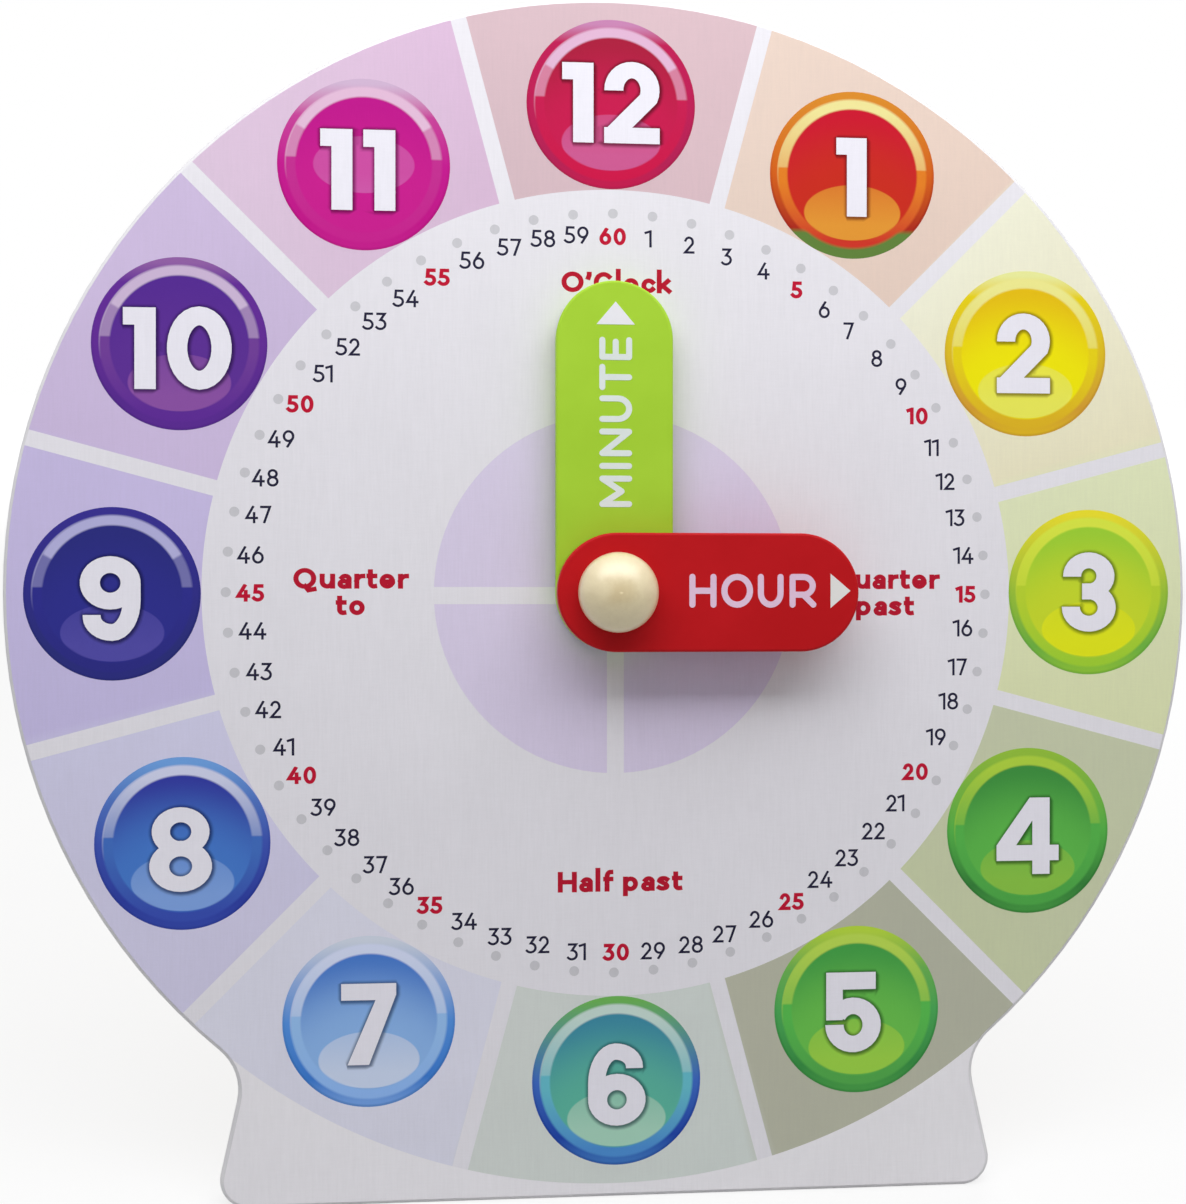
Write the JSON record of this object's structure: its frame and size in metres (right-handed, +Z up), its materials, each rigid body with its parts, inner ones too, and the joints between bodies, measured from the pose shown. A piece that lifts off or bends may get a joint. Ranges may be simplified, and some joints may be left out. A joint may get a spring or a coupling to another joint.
{
  "type": "geared teaching clock",
  "caption": "Round-headed wooden teaching clock with a flared foot, a printed dial, geared hour and minute hands, a rear gear case and a hinged leg that props it leaning back.",
  "frame": {"origin": "middle of the flat sole of the board's foot, on the table", "axes": "+X to the right seen from the front, +Y from the dial towards the back, +Z up; the board leans back 10 degrees from +Z"},
  "size_m": [0.3, 0.069, 0.2982],
  "materials": {
    "board": "white-painted face and edges, bare plywood back",
    "dial_print": "satin laminated print with a fine linen texture",
    "green_paint": "smooth satin apple-green paint",
    "red_paint": "smooth satin red paint",
    "bare_wood": "pale turned wood, lightly waxed",
    "leg_wood": "clear-varnished pale wood",
    "gear_plastic": "natural acetal",
    "case_plastic": "fine-textured moulded ABS",
    "nylon": "natural nylon",
    "felt": "pressed grey felt",
    "brass": "rolled, lightly brushed",
    "brass_screws": "turned, plated",
    "steel": "bright drawn",
    "zinc_screws": "bright zinc plate"
  },
  "bodies": {
    "board": {"clock_board": "board", "dial_print": "dial_print", "centre_bush": "brass", "drag_washer": "felt", "transfer_pin": "steel", "gear_plate": "case_plastic", "gear_case": "case_plastic", "case_screws": "zinc_screws", "hinge_leaf_fixed": "brass", "hinge_pin": "brass", "hinge_screws_fixed": "brass_screws"},
    "minute_train": {"minute_hand": "green_paint", "minute_washer": "nylon", "minute_arbor": "gear_plastic"},
    "transfer_train": {"transfer_gear": "gear_plastic"},
    "hour_train": {"hour_hand": "red_paint", "hour_washer": "nylon", "hour_shaft": "steel", "hour_wheel": "gear_plastic", "centre_knob": "bare_wood", "shaft_cap": "nylon"},
    "leg": {"stand_leg": "leg_wood", "hinge_leaf_moving": "brass", "hinge_screws_moving": "brass_screws"}
  },
  "joints": [
    {"name": "minute_turn", "type": "hinge", "parent": "board", "child": "minute_train", "pos_m": [0, 0.022, 0.15068], "axis": [0, 0.9848, -0.1736], "continuous": true},
    {"name": "transfer_turn", "type": "hinge", "parent": "board", "child": "transfer_train", "pos_m": [0, 0.02721, 0.18022], "axis": [0, 0.9848, -0.1736], "continuous": true},
    {"name": "hour_turn", "type": "hinge", "parent": "board", "child": "hour_train", "pos_m": [0, 0.022, 0.15068], "axis": [0, 0.9848, -0.1736], "continuous": true},
    {"name": "leg_fold", "type": "hinge", "parent": "board", "child": "leg", "pos_m": [0, 0.02263, 0.08659], "axis": [1, 0, 0], "range_deg": [-24, 0]}
  ],
  "couplings": [
    {"joint": "transfer_turn", "follows": "minute_turn", "ratio": -0.33333},
    {"joint": "hour_turn", "follows": "minute_turn", "ratio": 0.083333}
  ]
}
